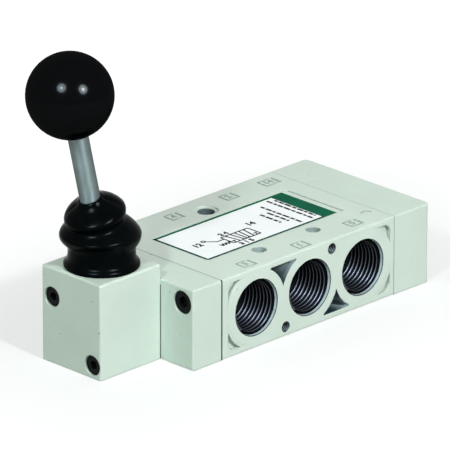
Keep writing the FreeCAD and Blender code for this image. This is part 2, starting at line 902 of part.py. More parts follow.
def screws():
    head = (S.end_screw_head_radius, S.end_screw_head_height)
    sink = S.end_screw_sink
    grip = S.end_screw_grip
    spots = end_screw_places
    socket = S.end_screw_socket
    shank = (S.end_screw_radius, S.adapter_length - sink + grip)
    screw_set("adapter_screws", spots, adapter_end + sink, ALONG_X, head, shank, socket)
    shank = (S.end_screw_radius, S.cap_length - sink + grip)
    screw_set("cap_screws", spots, cap_end - sink, AGAINST_X, head, shank, socket)
    head = (S.block_screw_head_radius, S.block_screw_head_height)
    sink = S.block_screw_sink
    shank = (S.block_screw_radius, S.block_length - sink + S.block_screw_grip)
    spots = block_screw_places
    socket = S.block_screw_socket
    screw_set("lever_block_screws", spots, block_end + sink, ALONG_X, head, shank, socket)


# Lever and its pivot

def pivot():
    seat = S.block_height - S.collar_seat_depth
    spot = (lever_x, 0, seat)
    blank = cylinder("collar_blank", S.collar_radius, S.collar_height, spot)
    hole = cylinder("collar_hole", S.collar_hole_radius, S.collar_height, spot)
    gap = S.hub_width / 2 + S.hub_side_gap
    slot = primitive(
        "Box",
        "collar_slot",
        (lever_x - S.collar_radius, -gap, seat + S.collar_floor),
        Length=2 * S.collar_radius,
        Width=2 * gap,
        Height=S.collar_height,
    )
    pin_spot = (lever_x, -S.pin_length / 2, pivot_height)
    pin_hole = cylinder("collar_pin_hole", S.pin_radius, S.pin_length, pin_spot, ALONG_Y)
    keep(cut("collar", blank, [hole, slot, pin_hole]), "pivot_collar")
    keep(cylinder("pin", S.pin_radius, S.pin_length, pin_spot, ALONG_Y), "pivot_pin")


def tilt(piece, name):
    """Lean a lever part, drawn upright about the pivot, to its rest place."""
    place(piece, (lever_x, 0, pivot_height), Rotation(-Y_AXIS, S.rest_tilt.number))
    piece.setExpression("Placement.Rotation.Angle", S.rest_tilt.text)
    return keep(piece, name)


def lever_arm():
    """Hub on the pivot pin, threaded boss above it and ball-ended arm below it."""
    half_hub = S.hub_width / 2
    hub = cylinder("hub", S.hub_radius, S.hub_width, (0, -half_hub, 0), ALONG_Y)
    boss = cylinder("rod_boss", S.rod_boss_radius, S.boss_top)
    neck_top = arm_length - S.ball_radius - S.arm_neck_length
    arm = cylinder("lower_arm", S.arm_radius, neck_top, (0, 0, -neck_top))
    neck = cylinder("arm_neck", S.arm_neck_radius, arm_length, (0, 0, -arm_length))
    ball = primitive("Sphere", "arm_ball", (0, 0, -arm_length), Radius=S.ball_radius)
    blank = join("lever_arm_blank", [hub, boss, arm, neck, ball])
    eye = cylinder("hub_bore", S.hub_bush_radius, S.hub_width, (0, -half_hub, 0), ALONG_Y)
    spot = (0, 0, S.boss_top - S.rod_thread_length)
    thread = cylinder("rod_thread_bore", S.rod_thread_radius, S.rod_thread_length, spot)
    tilt(cut("lever_arm_cut", blank, [eye, thread]), "lever_arm")
    inner = S.pin_radius + S.running_clearance
    bush = ring("hub_ring", inner, S.hub_bush_radius, S.hub_width, (0, 0, 0), ALONG_Z)
    for item in (bush.Base, bush.Tool):
        place(item, (0, -half_hub, 0), ALONG_Y)
    tilt(bush, "pivot_bush")


def lever_rod():
    foot = S.knob_distance - S.knob_foot_drop
    shoulder = S.boss_top + S.nut_thickness
    tang = cylinder(
        "rod_tang",
        S.rod_thread_radius,
        S.rod_thread_length + S.nut_thickness,
        (0, 0, S.boss_top - S.rod_thread_length),
    )
    shaft = cylinder("rod_shaft", S.rod_radius, foot - shoulder, (0, 0, shoulder))
    tip = cylinder("rod_tip", S.rod_thread_radius, S.rod_thread_length, (0, 0, foot))
    tilt(join("rod_blank", [tang, shaft, tip]), "lever_rod")
    spot = (0, 0, S.boss_top)
    blank = hexagon("nut_blank", S.nut_across_corners / 2, S.nut_thickness, spot)
    hole = cylinder("nut_hole", S.rod_thread_radius, S.nut_thickness, spot)
    tilt(cut("nut_cut", blank, [hole]), "rod_lock_nut")


def knob():
    """Ball knob with a small flat foot, moulded round a threaded insert."""
    foot = S.knob_distance - S.knob_foot_drop
    ball = primitive("Sphere", "knob_ball", (0, 0, S.knob_distance), Radius=S.knob_radius)
    low = cylinder("knob_foot_cut", S.knob_radius, S.knob_foot_drop, (0, 0, foot - S.knob_foot_drop))
    start = foot + S.insert_inset
    bore = cylinder("insert_bore", S.insert_radius, S.insert_length, (0, 0, start))
    mouth = cylinder("insert_mouth", S.rod_thread_radius, S.insert_inset, (0, 0, foot))
    tilt(cut("knob_cut", ball, [low, mouth, bore]), "knob")
    blank = cylinder("insert_blank", S.insert_radius, S.insert_length, (0, 0, start))
    length = S.rod_thread_length - S.insert_inset
    thread = cylinder("insert_thread", S.rod_thread_radius, length, (0, 0, start))
    tilt(cut("insert_cut", blank, [thread]), "knob_insert")


# Rubber boot

def ease(share):
    """Smooth step from 0 to 1."""
    share = min(max(share, 0), 1)
    return share * share * (3 - 2 * share)


def between(stations, rise):
    """Value at a height, eased between the stations' heights."""
    for (low, first), (high, last) in zip(stations, stations[1:]):
        if rise <= high:
            return first + (last - first) * ease((rise - low) / (high - low))
    return stations[-1][1]


def boot_ring(rise, radius):
    """One ring of the boot: shifted and leaned towards the rod more and more with its height."""
    neck, sleeve = S.boot_neck_end.number, S.boot_sleeve_rise.number
    lower, crease, upper = (
        S.boot_lower_rise.number,
        S.boot_crease_rise.number,
        S.boot_upper_rise.number,
    )
    slope = math.tan(math.radians(S.rest_tilt.number))
    shifts = [
        (neck, 0),
        (lower, S.boot_lower_shift.number),
        (crease, S.boot_crease_shift.number),
        (upper, S.boot_upper_shift.number),
        (sleeve, (sleeve - S.pivot_rise.number) * slope),
    ]
    leans = [
        (neck, 0),
        (lower, S.boot_lower_lean.number),
        (crease, S.boot_crease_lean.number),
        (upper, S.boot_upper_lean.number),
        (sleeve, S.rest_tilt.number),
    ]
    shift = between(shifts, rise) + max(rise - sleeve, 0) * slope
    lean = math.radians(between(leans, rise))
    corners = []
    for index in range(RING_SIDES + 1):
        bearing = 2 * math.pi * index / RING_SIDES
        across, side = radius * math.cos(bearing), radius * math.sin(bearing)
        corners.append(Vector(across * math.cos(lean) - shift, side, rise + across * math.sin(lean)))
    return Part.makePolygon(corners)


def fold(low, middle, high, steps):
    """Half-round rise and fall of a fold through three (rise, radius) stations."""
    stations = []
    for start, end in ((low, middle), (middle, high)):
        for step in range(1 if stations else 0, steps + 1):
            angle = math.pi / 2 * step / steps
            if end is middle:
                along, out = 1 - math.cos(angle), math.sin(angle)
            else:
                along, out = math.sin(angle), 1 - math.cos(angle)
            rise = start[0] + (end[0] - start[0]) * along
            stations.append((rise, start[1] + (end[1] - start[1]) * out))
    return stations


def boot():
    """Bellows boot: upright lower fold, leaned and shifted upper fold, and a sleeve on the rod."""
    wall = S.boot_wall.number
    neck = S.boot_neck_radius.number
    foot = (0, S.boot_foot_radius.number)
    neck_start, neck_end = (S.boot_neck_start.number, neck), (S.boot_neck_end.number, neck)
    lower = (S.boot_lower_rise.number, S.boot_lower_radius.number)
    crease = (S.boot_crease_rise.number, S.boot_crease_radius.number)
    upper = (S.boot_upper_rise.number, S.boot_upper_radius.number)
    sleeve = (S.boot_sleeve_rise.number, S.boot_sleeve_radius.number)
    top = (S.boot_top_rise.number, S.boot_sleeve_radius.number)
    spare = foot[1] - neck
    flare = [(neck_start[0] * share, neck + spare * (1 - share) ** 2) for share in (0, 0.3, 0.6)]
    lower_fold = fold(neck_end, lower, crease, 5)
    upper_fold = fold(crease, upper, sleeve, 5)[1:]
    profile = flare + [neck_start] + lower_fold + upper_fold
    narrowest = sleeve[1] + 2 * wall
    hollow = [(rise, radius - wall) for rise, radius in profile if radius > narrowest]
    item = doc.addObject("Part::Feature", "boot_rubber")
    outside = Part.makeLoft([boot_ring(*station) for station in profile + [top]], True, True)
    inside = Part.makeLoft([boot_ring(*station) for station in hollow], True, True)
    hole = Part.makeCylinder(S.rod_radius.number + S.boot_gap.number, 2 * top[0])
    hole.rotate(Vector(), -Y_AXIS, S.rest_tilt.number)
    hole.translate(Vector(0, 0, S.pivot_rise.number))
    item.Shape = outside.cut(inside).cut(hole)
    item.Placement = Placement(Vector(lever_x.number, 0, S.block_height.number), ALONG_Z)
    keep(item, "boot")


def check_and_write():
    doc.recompute()
    failed = [item.Label for item in doc.Objects if {"Invalid", "Error"} & set(item.State)]
    bad = [item.Label for item in nodes if item.Shape.isNull() or not item.Shape.isValid()]
    if failed or bad:
        raise RuntimeError(f"failed objects {failed}, bad shapes {bad}")
    os.makedirs("parts", exist_ok=True)
    for item in nodes:
        item.Shape.exportStep(f"parts/{item.Label}.step")
        print(item.Label, len(item.Shape.Solids), round(item.Shape.Volume, 1))


valve_body()
adapter_plate()
end_cap()
lever_block()
spool_train()
small_parts()
screws()
pivot()
lever_arm()
lever_rod()
knob()
boot()
check_and_write()
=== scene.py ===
import math

import bmesh
import bpy
from mathutils import Matrix, Vector


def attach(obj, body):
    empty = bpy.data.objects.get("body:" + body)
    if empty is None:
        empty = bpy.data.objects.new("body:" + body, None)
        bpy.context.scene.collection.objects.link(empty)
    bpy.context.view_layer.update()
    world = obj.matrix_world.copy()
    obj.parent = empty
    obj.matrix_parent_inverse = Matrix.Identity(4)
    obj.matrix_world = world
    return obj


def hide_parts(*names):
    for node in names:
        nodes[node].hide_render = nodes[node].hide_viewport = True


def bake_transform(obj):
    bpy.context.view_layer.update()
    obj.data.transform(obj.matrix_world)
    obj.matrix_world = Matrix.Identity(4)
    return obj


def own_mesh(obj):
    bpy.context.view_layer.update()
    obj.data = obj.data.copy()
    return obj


# Dressed scene of a hand-lever operated 5/2 valve, in metres and in the frame of its solids.
# Sizes below are written in millimetres and turned into metres by MM.

MM = 0.001
TOP = 31.0
HALF_LENGTH = 44.7
FRONT = 31.3
BACK = 32.7
BLOCK_FRONT = 14.6
ADAPTER_END = -59.3
SPOOL_HEIGHT = 15.5
LEVER_X = -74.25
PIVOT_HEIGHT = 39.4
BLOCK_TOP = 36.7
REST_TILT = math.radians(13.1)
PORT_SHIFT = 0.6
PORT_STEP = 13.8
CORE_STEP = 2 * PORT_STEP
CORE_START = -20.1

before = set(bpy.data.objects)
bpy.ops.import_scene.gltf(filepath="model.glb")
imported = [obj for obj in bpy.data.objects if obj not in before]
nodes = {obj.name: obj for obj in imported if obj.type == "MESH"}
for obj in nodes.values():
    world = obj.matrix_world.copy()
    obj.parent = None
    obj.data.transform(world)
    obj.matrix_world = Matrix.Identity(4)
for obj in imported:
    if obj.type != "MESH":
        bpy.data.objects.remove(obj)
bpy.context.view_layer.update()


def linear(*srgb):
    """Linear colour of an 8-bit display colour."""
    shares = [value / 255 for value in srgb]
    return tuple(s / 12.92 if s <= 0.04045 else ((s + 0.055) / 1.055) ** 2.4 for s in shares) + (1,)


# Materials

class Graph:
    """A material's node graph, with short calls to add and join nodes."""

    def __init__(self, name, **values):
        self.material = bpy.data.materials.new(name)
        self.material.use_nodes = True
        self.tree = self.material.node_tree
        self.shader = self.tree.nodes["Principled BSDF"]
        self.place = self.add("TexCoord").outputs["Object"]
        for socket, value in values.items():
            self.shader.inputs[socket.replace("_", " ")].default_value = value

    def add(self, kind, **settings):
        """New shader node of a kind, with its settings."""
        node = self.tree.nodes.new(f"ShaderNode{kind}")
        for key, value in settings.items():
            setattr(node, key, value)
        return node

    def join(self, source, node, socket):
        """Link an output to a node's input, or set the input where the source is a plain value."""
        if hasattr(source, "is_linked"):
            self.tree.links.new(source, node.inputs[socket])
        else:
            node.inputs[socket].default_value = source

    def noise(self, scale, detail=3.0, rough=0.55, stretch=None):
        """Noise value over the object, with its scale in features per metre."""
        node = self.add("TexNoise")
        node.inputs["Scale"].default_value = scale
        node.inputs["Detail"].default_value = detail
        node.inputs["Roughness"].default_value = rough
        place = self.place
        if stretch:
            mapping = self.add("Mapping")
            mapping.inputs["Scale"].default_value = stretch
            self.join(place, mapping, "Vector")
            place = mapping.outputs["Vector"]
        self.join(place, node, "Vector")
        return node.outputs["Fac"]

    def ramp(self, value, low, high, first=0.0, last=1.0):
        """Smooth step from first to last, as the value runs from low to high."""
        node = self.add("MapRange", interpolation_type="SMOOTHSTEP")
        self.join(value, node, "Value")
        for socket, number in zip(("From Min", "From Max", "To Min", "To Max"), (low, high, first, last)):
            node.inputs[socket].default_value = number
        return node.outputs["Result"]

    def vector_math(self, kind, first, second=(0, 0, 0)):
        node = self.add("VectorMath", operation=kind)
        self.join(first, node, 0)
        self.join(second, node, 1)
        return node.outputs["Value" if kind == "LENGTH" else "Vector"]

    def off_box(self, centre, half):
        """Distance from a box given by its centre and half sizes in metres."""
        away = self.vector_math("ABSOLUTE", self.vector_math("SUBTRACT", self.place, centre))
        outside = self.vector_math("MAXIMUM", self.vector_math("SUBTRACT", away, half))
        return self.vector_math("LENGTH", outside)

    def math(self, kind, first, second):
        node = self.add("Math", operation=kind)
        self.join(first, node, 0)
        self.join(second, node, 1)
        return node.outputs["Value"]

    def mix(self, share, first, second):
        node = self.add("Mix", data_type="RGBA")
        self.join(share, node, 0)
        self.join(first, node, 6)
        self.join(second, node, 7)
        return node.outputs[2]

    def bump(self, height, distance, normal=None):
        node = self.add("Bump")
        node.inputs["Distance"].default_value = distance
        self.join(height, node, "Height")
        if normal is not None:
            self.join(normal, node, "Normal")
        return node.outputs["Normal"]

    def bevel(self, radius):
        node = self.add("Bevel", samples=4)
        node.inputs["Radius"].default_value = radius
        return node.outputs["Normal"]

    def edges(self, soft):
        """How far the softened normal turns from the real one: above 0 only along edges."""
        flat = self.add("NewGeometry").outputs["Normal"]
        dot = self.add("VectorMath", operation="DOT_PRODUCT")
        self.join(soft, dot, 0)
        self.join(flat, dot, 1)
        return self.math("SUBTRACT", 1.0, dot.outputs["Value"])

    def finish(self, **sources):
        """Join the sources to the shader and give the material."""
        for socket, source in sources.items():
            self.join(source, self.shader, socket.replace("_", " "))
        return self.material


def paint(name, tone, pits=0.35):
    """Pale enamel over a casting: mottled tone, orange peel, fine pits and thin light edges, partly wear and partly a
    painted highlight.
    """
    g = Graph(name, IOR=1.45)
    pale = tuple(min(value * 1.06, 1) for value in tone[:3]) + (1,)
    dull = tuple(value * factor for value, factor in zip(tone, (0.9, 0.93, 0.92))) + (1,)
    cloud = g.ramp(g.noise(55, 4), 0.35, 0.68)
    blots = g.ramp(g.noise(420, 3, 0.6), 0.6, 0.78)
    colour = g.mix(cloud, tuple(value * 0.96 for value in tone[:3]) + (1,), tone)
    colour = g.mix(g.math("MULTIPLY", blots, 0.5), colour, dull)
    speck = g.ramp(g.noise(900, 2, 0.6), 0.71, 0.78)
    colour = g.mix(g.math("MULTIPLY", speck, pits), colour, linear(96, 108, 100))
    soft = g.bevel(0.75 * MM)
    # Lighter edges: partly worn paint, partly a painted highlight along the edges.
    rim = g.ramp(g.edges(soft), 0.02, 0.2)
    worn = g.math("MULTIPLY", rim, g.ramp(g.noise(130, 4, 0.7), 0.3, 0.55))
    colour = g.mix(g.math("MULTIPLY", worn, 0.7), colour, pale)
    rough = g.ramp(g.noise(240, 3), 0.3, 0.7, 0.36, 0.5)
    peel = g.bump(g.noise(1300, 2), 0.018 * MM, soft)
    peel = g.bump(g.noise(260, 3), 0.03 * MM, peel)
    return g.finish(Base_Color=colour, Roughness=rough, Normal=peel)


def bare_metal(name, tone, rough=(0.28, 0.42), grain=None, metallic=1.0, edge=1.0, streak=0.0):
    """Bare metal with machining grain, slight stains and varied gloss; streak draws the gloss out along Z."""
    g = Graph(name, Metallic=metallic)
    if streak:
        g.shader.inputs["Anisotropic"].default_value = streak
        g.shader.inputs["Anisotropic Rotation"].default_value = 0.25
        around = g.add("Tangent", direction_type="RADIAL", axis="Z").outputs["Tangent"]
        g.join(around, g.shader, "Tangent")
    g.shader.inputs["Specular Tint"].default_value = (edge, edge, edge, 1)
    stain = g.ramp(g.noise(180, 4, 0.6), 0.3, 0.7)
    dull = tuple(value * 0.85 for value in tone[:3]) + (1,)
    lines = g.noise(700, 3, 0.6, grain or (1, 1, 1))
    colour = g.mix(stain, dull, tone)
    gloss = g.ramp(lines, 0.3, 0.7, *rough)
    bumps = g.bump(lines, 0.012 * MM, g.bevel(0.15 * MM))
    return g.finish(Base_Color=colour, Roughness=gloss, Normal=bumps)


def black_oxide():
    """Oiled black screw steel with slightly worn edges."""
    g = Graph("black_oxide", IOR=1.5)
    g.shader.inputs["Specular IOR Level"].default_value = 0.08
    wear = g.ramp(g.edges(g.bevel(0.2 * MM)), 0.03, 0.3)
    colour = g.mix(g.ramp(g.noise(400, 3), 0.35, 0.7), linear(4, 6, 6), linear(12, 15, 15))
    colour = g.mix(g.math("MULTIPLY", wear, 0.2), colour, linear(60, 64, 64))
    bumps = g.bump(g.noise(1800, 2), 0.01 * MM, g.bevel(0.2 * MM))
    return g.finish(Base_Color=colour, Roughness=g.ramp(g.noise(500), 0.3, 0.7, 0.4, 0.6), Normal=bumps)


def rubber(name, dark, light, rough, gloss_level=0.03):
    """Moulded rubber: faint bloom in patches, fine grain and a satin gloss."""
    g = Graph(name, IOR=1.4)
    g.shader.inputs["Specular IOR Level"].default_value = gloss_level
    bloom = g.ramp(g.noise(120, 5, 0.65), 0.42, 0.75)
    colour = g.mix(bloom, dark, light)
    gloss = g.ramp(g.noise(300, 4), 0.3, 0.7, *rough)
    bumps = g.bump(g.noise(2400, 2), 0.012 * MM)
    bumps = g.bump(g.noise(160, 3), 0.06 * MM, bumps)
    return g.finish(Base_Color=colour, Roughness=gloss, Normal=bumps)


def phenolic():
    """Polished black ball: a thin clear polish over satin plastic, hair scratches and a little dust."""
    g = Graph("phenolic", IOR=1.5, Coat_Weight=0.02, Coat_IOR=2.5)
    g.shader.inputs["Specular IOR Level"].default_value = 0.0
    dust = g.ramp(g.noise(1500, 2, 0.7), 0.74, 0.82)
    colour = g.mix(g.math("MULTIPLY", dust, 0.1), linear(1, 2, 3), linear(30, 34, 34))
    scratches = g.noise(420, 4, 0.7, (1, 6, 0.4))
    polish = g.ramp(scratches, 0.4, 0.75, 0.11, 0.16)
    bumps = g.bump(g.noise(90, 2), 0.03 * MM)
    satin = g.ramp(scratches, 0.4, 0.75, 0.3, 0.36)
    return g.finish(Base_Color=colour, Roughness=satin, Coat_Roughness=polish, Normal=bumps, Coat_Normal=bumps)


def film(name, tone, second, gloss_level=0.15):
    """Printed film: slight tone drift under a smooth, faintly rippled surface."""
    g = Graph(name, IOR=1.46)
    g.shader.inputs["Specular IOR Level"].default_value = gloss_level
    colour = g.mix(g.ramp(g.noise(70, 3), 0.3, 0.7), tone, second)
    ripple = g.bump(g.noise(140, 2), 0.02 * MM)
    return g.finish(Base_Color=colour, Roughness=g.ramp(g.noise(350), 0.3, 0.7, 0.3, 0.4), Normal=ripple)


def core_metal():
    """Painted shade inside the deep cores: dark teal on the left of each core, paler to the right, with darker stains
    in patches.
    """
    g = Graph("core_shade_material", IOR=1.46)
    g.shader.inputs["Specular IOR Level"].default_value = 0.15
    axes = g.add("SeparateXYZ")
    g.join(g.place, axes, 0)
    from_start = g.math("ADD", axes.outputs["X"], -CORE_START * MM)
    turn = g.math("FRACT", g.math("DIVIDE", from_start, CORE_STEP * MM), 0.0)
    shade_drift = g.math("ADD", turn, g.math("MULTIPLY", g.noise(150, 3), 0.2))
    # Painted shade: each core runs from dark teal at its left side to pale at its right.
    colour = g.mix(g.ramp(shade_drift, 0.32, 0.6), linear(36, 58, 68), linear(172, 192, 196))
    stain = g.ramp(g.noise(330, 4, 0.65), 0.62, 0.74)
    colour = g.mix(g.math("MULTIPLY", stain, 0.8), colour, linear(30, 44, 50))
    rough = g.bump(g.noise(700, 3), 0.05 * MM)
    return g.finish(Base_Color=colour, Roughness=g.ramp(g.noise(350), 0.3, 0.7, 0.4, 0.55), Normal=rough)


materials = {
    "painted_body": paint("enamel_body", linear(204, 219, 208)),
    "painted_ends": paint("enamel_ends", linear(202, 218, 207), 0.45),
    "label_face": film("label_film", linear(248, 251, 253), linear(244, 248, 251)),
    "black_screw": black_oxide(),
    "bright_steel": bare_metal("bright_steel", linear(110, 122, 122), (0.45, 0.55), (1, 1, 0.08), 0.75, 0.3, 0.7),
    "spool_metal": bare_metal("turned_aluminium", linear(190, 194, 196), (0.22, 0.34), (9, 0.3, 0.3)),
    "bronze": bare_metal("sintered_bronze", linear(150, 112, 62), (0.45, 0.6)),
    "insert_brass": bare_metal("insert_brass", linear(186, 150, 78), (0.3, 0.42)),
    "seal_rubber": rubber("seal_rubber", linear(14, 15, 16), linear(30, 31, 33), (0.42, 0.55), 0.1),
    "boot_rubber": rubber("boot_rubber", linear(2, 5, 6), linear(5, 8, 9), (0.18, 0.24), 0.022),
    "knob_plastic": phenolic(),
    # Painted shade and highlight in the ports: near-black flanks and hole depths stand for shade, lighter crests for
    # lit crests.
    "port_metal": bare_metal("port_metal", linear(5, 7, 9), (0.4, 0.5), None, 0.92, 0.3),
    "crest_metal": bare_metal("crest_metal", linear(78, 80, 88), (0.34, 0.44), None, 1.0, 0.4),
    # Bare chamfer metal of the port rims; on the side holes' crests it is a painted highlight, over flanks in painted
    # shade.
    "rim_metal": bare_metal("rim_metal", linear(172, 190, 198), (0.45, 0.6), None, 0.1, 0.5),
    "small_thread": bare_metal("small_thread", linear(28, 34, 34), (0.4, 0.5), None, 0.6, 0.3),
    "core_metal": core_metal(),
    # Darker copies of the body paint in the through holes: painted shade, darkest in the back hole.
    "hole_paint": paint("hole_paint", linear(160, 178, 176)),
    "deep_hole": paint("deep_hole_paint", linear(92, 110, 110)),
    # Darker paint on the raised marks, as painted shade along their relief; the cap seam's top strip uses it too.
    "mark_paint": paint("mark_paint", linear(158, 176, 166)),
    "green_ink": film("green_ink", linear(0, 100, 72), linear(0, 84, 58), 0.01),
    "dark_green_ink": film("dark_green_ink", linear(0, 78, 62), linear(2, 68, 54), 0.01),
    "black_ink": film("black_ink", linear(8, 14, 16), linear(16, 22, 24), 0.01),
    "seam_dark": rubber("seam_dark", linear(4, 12, 12), linear(12, 22, 22), (0.6, 0.75)),
    "gasket": rubber("gasket", linear(92, 106, 98), linear(112, 126, 118), (0.6, 0.75)),
}

NODE_SLOTS = {
    "valve_body": "painted_body",
    "adapter_plate": "painted_ends",
    "end_cap": "painted_ends",
    "lever_block": "painted_ends",
    "label_plate": "label_face",
    "adapter_screws": "black_screw",
    "cap_screws": "black_screw",
    "lever_block_screws": "black_screw",
    "spool": "spool_metal",
    "land_seals": "seal_rubber",
    "end_seals": "seal_rubber",
    "spool_stem": "bright_steel",
    "stem_bush": "bronze",
    "stem_seal": "seal_rubber",
    "return_spring": "bright_steel",
    "spring_washer": "bright_steel",
    "end_bumper": "seal_rubber",
    "adapter_seal": "seal_rubber",
    "cap_seal": "seal_rubber",
    "pivot_collar": "bright_steel",
    "pivot_pin": "bright_steel",
    "pivot_bush": "bronze",
    "lever_arm": "bright_steel",
    "lever_rod": "bright_steel",
    "rod_lock_nut": "bright_steel",
    "knob": "knob_plastic",
    "knob_insert": "insert_brass",
    "boot": "boot_rubber",
}


def dress_nodes():
    """Give each solid its material."""
    for name, slot in NODE_SLOTS.items():
        mesh = nodes[name].data
        mesh.materials.clear()
        mesh.materials.append(materials[slot])


# Pieces made here

def new_piece(name, mesh, slots, body="root"):
    """Put a finished mesh in the scene, with its materials, riding on a body."""
    for key in slots:
        mesh.materials.append(materials[key])
    piece = bpy.data.objects.new(name, mesh)
    bpy.context.scene.collection.objects.link(piece)
    if body:
        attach(piece, body)
    return piece


def mesh_from(name, points, faces, smooth=True, marks=None):
    """Mesh from points in millimetres; marks gives each face's material."""
    mesh = bpy.data.meshes.new(name)
    mesh.from_pydata([Vector(point) * MM for point in points], [], faces)
    mesh.update()
    mesh.polygons.foreach_set("use_smooth", [smooth] * len(mesh.polygons))
    if marks:
        mesh.polygons.foreach_set("material_index", marks)
    return mesh


def strip_faces(rows, columns, closed=True):
    """Quads of a grid of points given row by row, with each row closed to a ring or left open."""
    faces = []
    last = columns if closed else columns - 1
    for row in range(rows - 1):
        for column in range(last):
            after = (column + 1) % columns
            low, high = row * columns, (row + 1) * columns
            faces.append((low + column, low + after, high + after, high + column))
    return faces


# Threads: crests on the drilled radius, roots beyond it

WELD_REACH = 1e-7
WALL_GAP = 0.02


def thread_radius(share, minor, major):
    """Radius across one pitch of a thread with flat crests and roots; share runs from 0 to 1."""
    wave = abs(share - 0.5) * 2
    rise = min(max((wave - 0.16) / 0.68, 0), 1)
    return minor + (major - minor) * rise


def weld(mesh):
    """Join the points that meet and drop the faces without area."""
    bm = bmesh.new()
    bm.from_mesh(mesh)
    bmesh.ops.remove_doubles(bm, verts=bm.verts, dist=WELD_REACH)
    bmesh.ops.dissolve_degenerate(bm, dist=WELD_REACH, edges=bm.edges)
    bm.to_mesh(mesh)
    bm.free()


def face_level(side):
    """Distance of the front (-1) or back (+1) face from the spool axis."""
    return FRONT if side < 0 else BACK


def thread(name, spot, side, minor, major, rim, pitch, depth, slots):
    """Wall of a threaded hole in the front (-1) or back (+1) face: rim rings, then the thread.

    The rim lists (depth, radius) stations from the face inwards, and the slots hold a material for
    each ring between them, then those of the thread's flanks and of its crests.
    """
    around, cuts = 72, 8
    x, z = spot
    mouth, throat = rim[-1]
    points = []

    def add(turn, deep, radius):
        angle = 2 * math.pi * turn
        y = side * (face_level(side) - WALL_GAP - deep)
        points.append((x + radius * math.cos(angle), y, z - side * radius * math.sin(angle)))

    for deep, radius in rim:
        for step in range(around + 1):
            add(step / around, deep, radius)
    rows = math.ceil((depth - mouth) / pitch) * cuts
    for row in range(-cuts, rows + 1):
        for step in range(around + 1):
            turn = step / around
            deep = (row / cuts + turn) * pitch
            inside = deep < depth - mouth
            radius = thread_radius((row / cuts) % 1, minor, major) if inside else minor
            if deep <= 0:
                radius = throat
            add(turn, mouth + min(max(deep, 0), depth - mouth), radius)
    rings = len(rim) - 1
    faces = strip_faces(rows + cuts + 1 + len(rim), around + 1, closed=False)
    marks = []
    for index in range(len(faces)):
        ring = index // around
        crest = (ring - rings - 1) % cuts in (3, 4)
        marks.append(ring if ring < rings else rings + crest)
    mesh = mesh_from(name, points, faces, marks=marks)
    weld(mesh)
    mesh.set_sharp_from_angle(angle=math.radians(50))
    new_piece(name, mesh, slots)


PORTS = [(PORT_SHIFT + PORT_STEP * step, -1 if step % 2 == 0 else 1) for step in (-2, 0, 2, -1, 1)]
PORT_RIM = [(0.0, 10.9), (0.12, 10.62), (1.1, 10.5)]
PORT_BORE, PORT_ROOT, PORT_PITCH, PORT_DEPTH = 9.3, 10.42, 1.814, 15.0
PORT_REACH = 11.0
SIDE_HOLES = [(-11.9, 3.6), (11.9, 27.4)]
SIDE_RIM = [(0.0, 2.12), (0.02, 2.1)]
SIDE_BORE, SIDE_ROOT, SIDE_PITCH, SIDE_DEPTH = 2.1, 2.45, 0.8, 7.0
SIDE_REACH = 2.2
SIDE_END = -24
FRONT_HOLES = [(-13.95, -19.6, 2.75), (13.95, -19.6, 2.75)]
BACK_HOLE = (0.0, 21.5, 3.3)
SLACK = 0.1


def near_axis(points, x, z, reach):
    """Smallest and largest distance from an axis along Y, or None where any point lies out of reach."""
    spread = [math.hypot(point.x - x, point.z - z) for point in points]
    return (min(spread), max(spread)) if max(spread) < reach else None


def is_hole_wall(points):
    """True on the walls of ports and side holes, which the threads stand for."""
    for x, side in PORTS:
        spread = near_axis(points, x, SPOOL_HEIGHT, PORT_REACH)
        deep = max(face_level(side) - point.y * side for point in points)
        if spread and spread[0] > PORT_BORE - SLACK and deep < PORT_DEPTH + SLACK:
            return True
    depths = [point.y for point in points]
    for x, z in SIDE_HOLES:
        spread = near_axis(points, x, z, SIDE_REACH)
        wall = max(depths) < SIDE_END and max(depths) - min(depths) > 1
        if spread and spread[0] > SIDE_BORE - SLACK and wall:
            return True
    return False


def is_bare(points):
    """True inside ports and side holes, which are machined after painting."""
    for x, side in PORTS:
        if near_axis(points, x, SPOOL_HEIGHT, PORT_REACH) and min(point.y * side for point in points) > 8:
            return True
    for x, z in SIDE_HOLES:
        if near_axis(points, x, z, SIDE_REACH) and max(point.y for point in points) < SIDE_END:
            return True
    return False


def in_down_hole(points, holes):
    """True on the walls of the given through holes."""
    for x, y, radius in holes:
        if max(math.hypot(point.x - x, point.y - y) for point in points) < radius + 0.05:
            return True
    return False


def is_front_hole(points):
    return in_down_hole(points, FRONT_HOLES)


def is_back_hole(points):
    return in_down_hole(points, [BACK_HOLE])


def is_core(points):
    """True deep in the cast cores between the front ports."""
    middle = sum(points, Vector()) / len(points)
    inside = -FRONT + 7.6 > middle.y > -FRONT + 0.5 or abs(middle.y + FRONT - 7.5) < 0.05
    return inside and abs(middle.x) < 22 and 2 < middle.z < 29 and min(p.y for p in points) > -31.35


